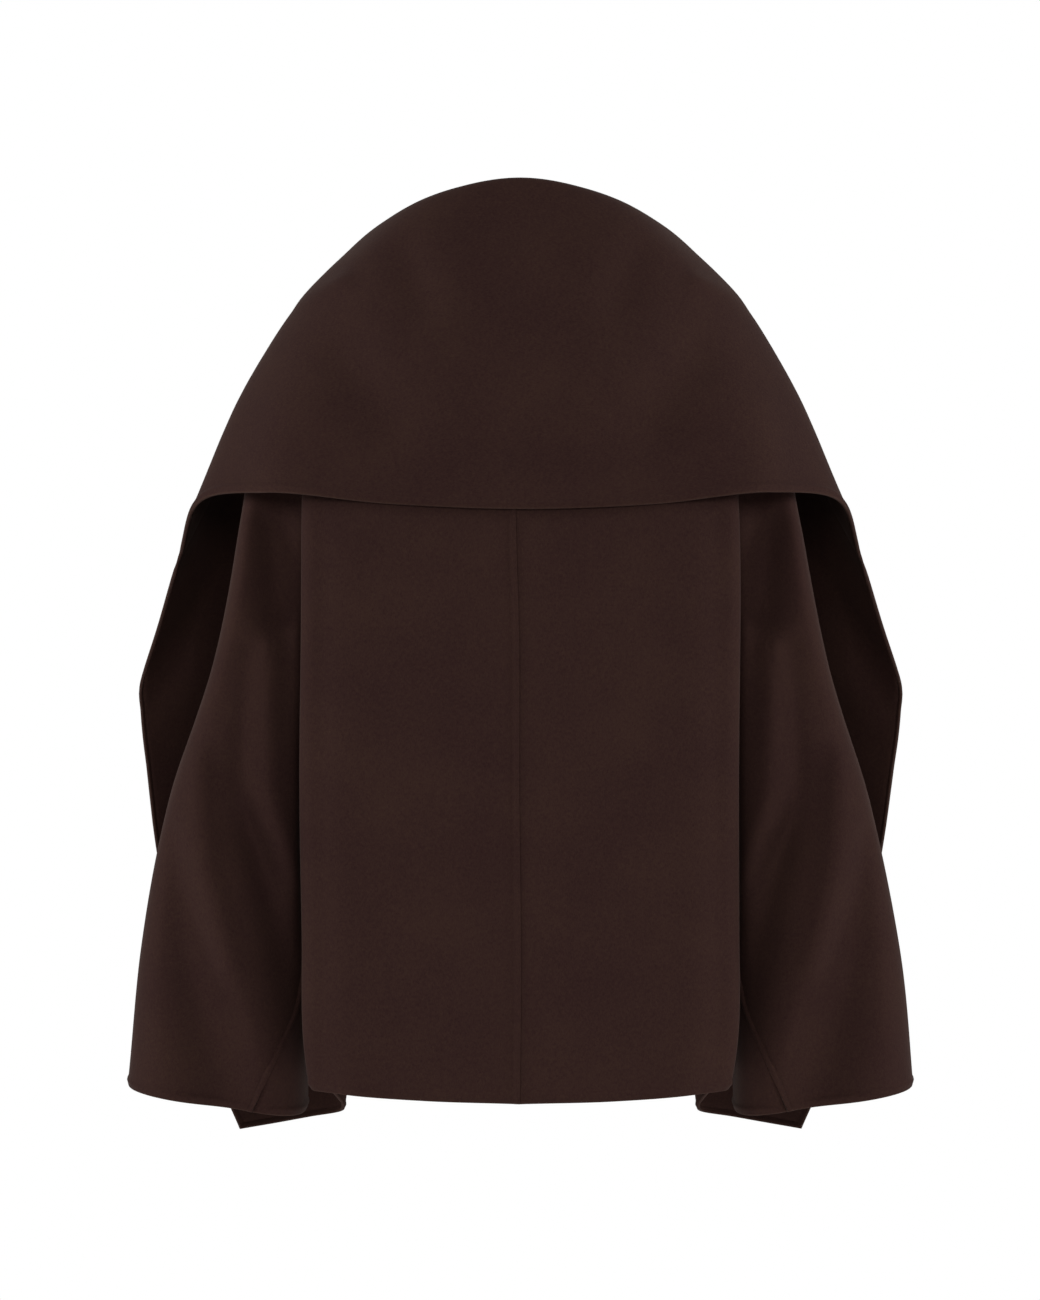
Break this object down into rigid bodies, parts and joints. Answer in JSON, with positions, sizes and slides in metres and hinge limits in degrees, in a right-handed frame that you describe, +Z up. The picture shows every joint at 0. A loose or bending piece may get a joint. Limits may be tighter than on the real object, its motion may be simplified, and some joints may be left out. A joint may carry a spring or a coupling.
{
  "type": "cape jacket",
  "caption": "Hip-length wool cape jacket with wide hanging sleeves, an open front and a deep shawl collar that drapes over the back, the shoulders and the fronts.",
  "frame": {"origin": "under the cloth, midway between the two points where the neck meets the shoulders, where the wearer holds the jacket up", "axes": "+Z up along the wearer's neck, -Y out of the wearer's back, +X to the wearer's right"},
  "size_m": [0.6644, 0.3149, 0.8118],
  "materials": {
    "wool_outer": "matt brushed double-faced wool with a short close nap, dark brown on both faces"
  },
  "bodies": {
    "root": {"back_left": "wool_outer", "back_right": "wool_outer", "front_left": "wool_outer", "front_right": "wool_outer", "sleeve_upper_left": "wool_outer", "sleeve_upper_right": "wool_outer", "sleeve_under_left": "wool_outer", "sleeve_under_right": "wool_outer", "collar": "wool_outer", "lapel_left": "wool_outer", "lapel_right": "wool_outer"}
  },
  "joints": []
}
